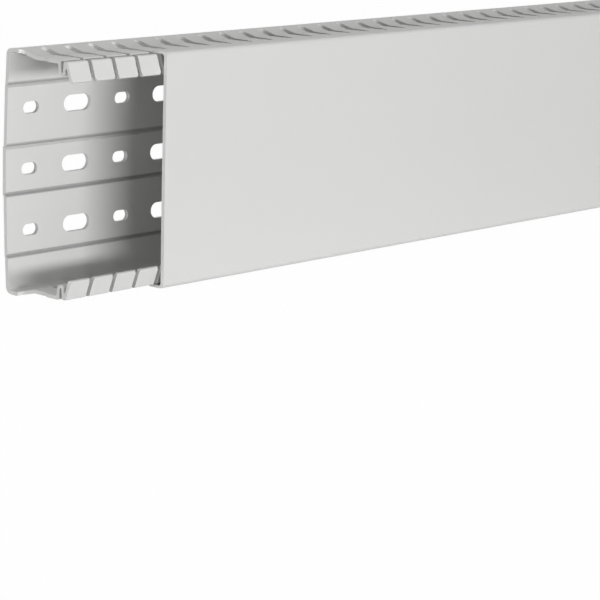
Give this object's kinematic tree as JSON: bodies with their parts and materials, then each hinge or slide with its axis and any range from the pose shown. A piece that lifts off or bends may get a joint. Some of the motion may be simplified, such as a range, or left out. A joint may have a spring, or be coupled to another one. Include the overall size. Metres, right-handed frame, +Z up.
{
  "type": "slotted wiring duct",
  "caption": "Grey plastic slotted wiring duct: a finger-walled trough with slotted back panel and a clip-on cover that slides along it",
  "frame": {"origin": "middle of the trough's back, on the mounting plane, at mid length and mid height", "axes": "+X along the duct to its right end, +Y out of the back towards the panel it is fixed to, +Z up across its width, as in the picture"},
  "size_m": [1.05, 0.042, 0.1],
  "materials": {
    "grey_pvc": "light grey rigid PVC, smooth extruded, soft satin"
  },
  "bodies": {
    "trough": {"slotted_base": "grey_pvc"},
    "cover": {"snap_cover": "grey_pvc"}
  },
  "joints": [
    {"name": "cover_slide", "type": "slide", "parent": "trough", "child": "cover", "axis": [1, 0, 0], "range_m": [-0.05, 0.45]}
  ]
}
